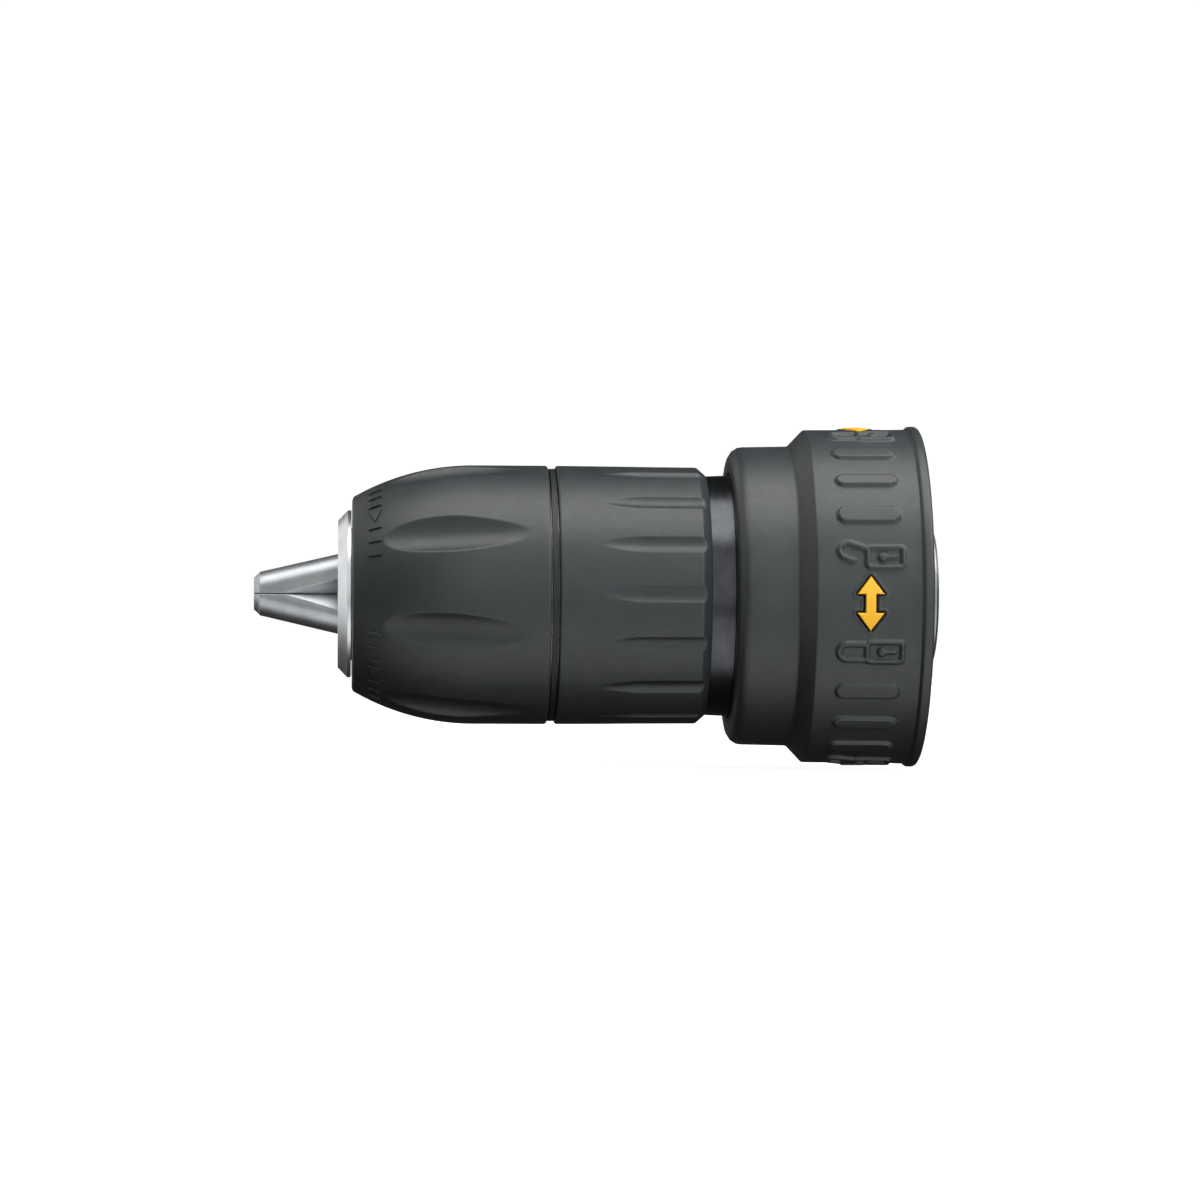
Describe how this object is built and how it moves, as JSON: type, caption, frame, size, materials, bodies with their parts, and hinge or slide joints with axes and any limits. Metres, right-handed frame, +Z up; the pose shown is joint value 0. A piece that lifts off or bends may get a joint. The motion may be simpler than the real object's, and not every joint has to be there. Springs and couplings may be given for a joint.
{
  "type": "quick-change keyless drill chuck",
  "caption": "Keyless jaw chuck with a ribbed locking collar: the front sleeve turns to open the jaws, and the collar turns to release the chuck from a drill spindle.",
  "frame": {"origin": "centre of the spindle socket's mouth, at the chuck's rear end", "axes": "+X forward along the chuck axis from the spindle to the jaw tips, +Y towards the side with one of the double arrows, +Z up"},
  "size_m": [0.1129, 0.057, 0.057],
  "materials": {
    "hub_steel": "machined",
    "ring_steel": "turned bright",
    "cover_plastic": "moulded matt",
    "seal_rubber": "smooth",
    "washer_steel": "ground",
    "neck_black": "black oxide, polished",
    "body_steel": "turned",
    "screw_steel": "blackened",
    "sleeve_plastic": "satin glass-filled nylon",
    "gap_ring_plastic": "satin",
    "nut_steel": "machined",
    "cage_brass": "stamped",
    "ball_steel": "polished",
    "jaw_steel": "ground, hardened",
    "collar_plastic": "satin glass-filled nylon",
    "arrow_yellow": "satin"
  },
  "bodies": {
    "chuck": {"spindle_hub": "hub_steel", "end_ring": "ring_steel", "rear_cover": "cover_plastic", "rear_seal": "seal_rubber", "thrust_washer": "washer_steel", "friction_washer": "washer_steel", "neck_ring": "neck_black", "front_seal": "seal_rubber", "chuck_body": "body_steel", "tail_screw": "screw_steel", "rear_sleeve": "sleeve_plastic", "sleeve_gap_ring": "gap_ring_plastic", "thrust_ring": "washer_steel", "nose_ring": "ring_steel"},
    "sleeve": {"front_sleeve": "sleeve_plastic", "nut_half_1": "nut_steel", "nut_half_2": "nut_steel", "nut_shell": "nut_steel", "nut_race": "washer_steel"},
    "bearing": {"ball_cage": "cage_brass", "bearing_balls": "ball_steel"},
    "jaw_1": {"jaw_1": "jaw_steel"},
    "jaw_2": {"jaw_2": "jaw_steel"},
    "jaw_3": {"jaw_3": "jaw_steel"},
    "collar": {"lock_collar": "collar_plastic", "cam_ring": "nut_steel", "direction_arrows": "arrow_yellow"},
    "lock_ball_1": {"lock_ball_1": "ball_steel"},
    "lock_ball_2": {"lock_ball_2": "ball_steel"},
    "lock_ball_3": {"lock_ball_3": "ball_steel"}
  },
  "joints": [
    {"name": "sleeve_turn", "type": "hinge", "parent": "chuck", "child": "sleeve", "pos_m": [0.078, 0, 0], "axis": [1, 0, 0], "range_deg": [0, 4500]},
    {"name": "bearing_turn", "type": "hinge", "parent": "chuck", "child": "bearing", "pos_m": [0.06645, 0, 0], "axis": [1, 0, 0], "range_deg": [0, 2260]},
    {"name": "jaw_1_slide", "type": "slide", "parent": "chuck", "child": "jaw_1", "axis": [-0.9659, 0.1294, 0.2241], "range_m": [0, 0.0251]},
    {"name": "jaw_2_slide", "type": "slide", "parent": "chuck", "child": "jaw_2", "axis": [-0.9659, -0.2588, 0], "range_m": [0, 0.0251]},
    {"name": "jaw_3_slide", "type": "slide", "parent": "chuck", "child": "jaw_3", "axis": [-0.9659, 0.1294, -0.2241], "range_m": [0, 0.0251]},
    {"name": "collar_turn", "type": "hinge", "parent": "chuck", "child": "collar", "pos_m": [0.0131, 0, 0], "axis": [-1, 0, 0], "range_deg": [0, 30]},
    {"name": "lock_ball_1_slide", "type": "slide", "parent": "chuck", "child": "lock_ball_1", "axis": [0, 0, -1], "range_m": [0, 0.00106]},
    {"name": "lock_ball_2_slide", "type": "slide", "parent": "chuck", "child": "lock_ball_2", "axis": [0, 0.866, 0.5], "range_m": [0, 0.00106]},
    {"name": "lock_ball_3_slide", "type": "slide", "parent": "chuck", "child": "lock_ball_3", "axis": [0, -0.866, 0.5], "range_m": [0, 0.00106]}
  ],
  "couplings": [
    {"joint": "bearing_turn", "follows": "sleeve_turn", "ratio": 0.5},
    {"joint": "jaw_1_slide", "follows": "sleeve_turn", "m_per_rad": 0.00031831},
    {"joint": "jaw_2_slide", "follows": "sleeve_turn", "m_per_rad": 0.00031831},
    {"joint": "jaw_3_slide", "follows": "sleeve_turn", "m_per_rad": 0.00031831},
    {"joint": "lock_ball_1_slide", "follows": "collar_turn", "m_per_rad": 0.0020054},
    {"joint": "lock_ball_2_slide", "follows": "collar_turn", "m_per_rad": 0.0020054},
    {"joint": "lock_ball_3_slide", "follows": "collar_turn", "m_per_rad": 0.0020054}
  ]
}
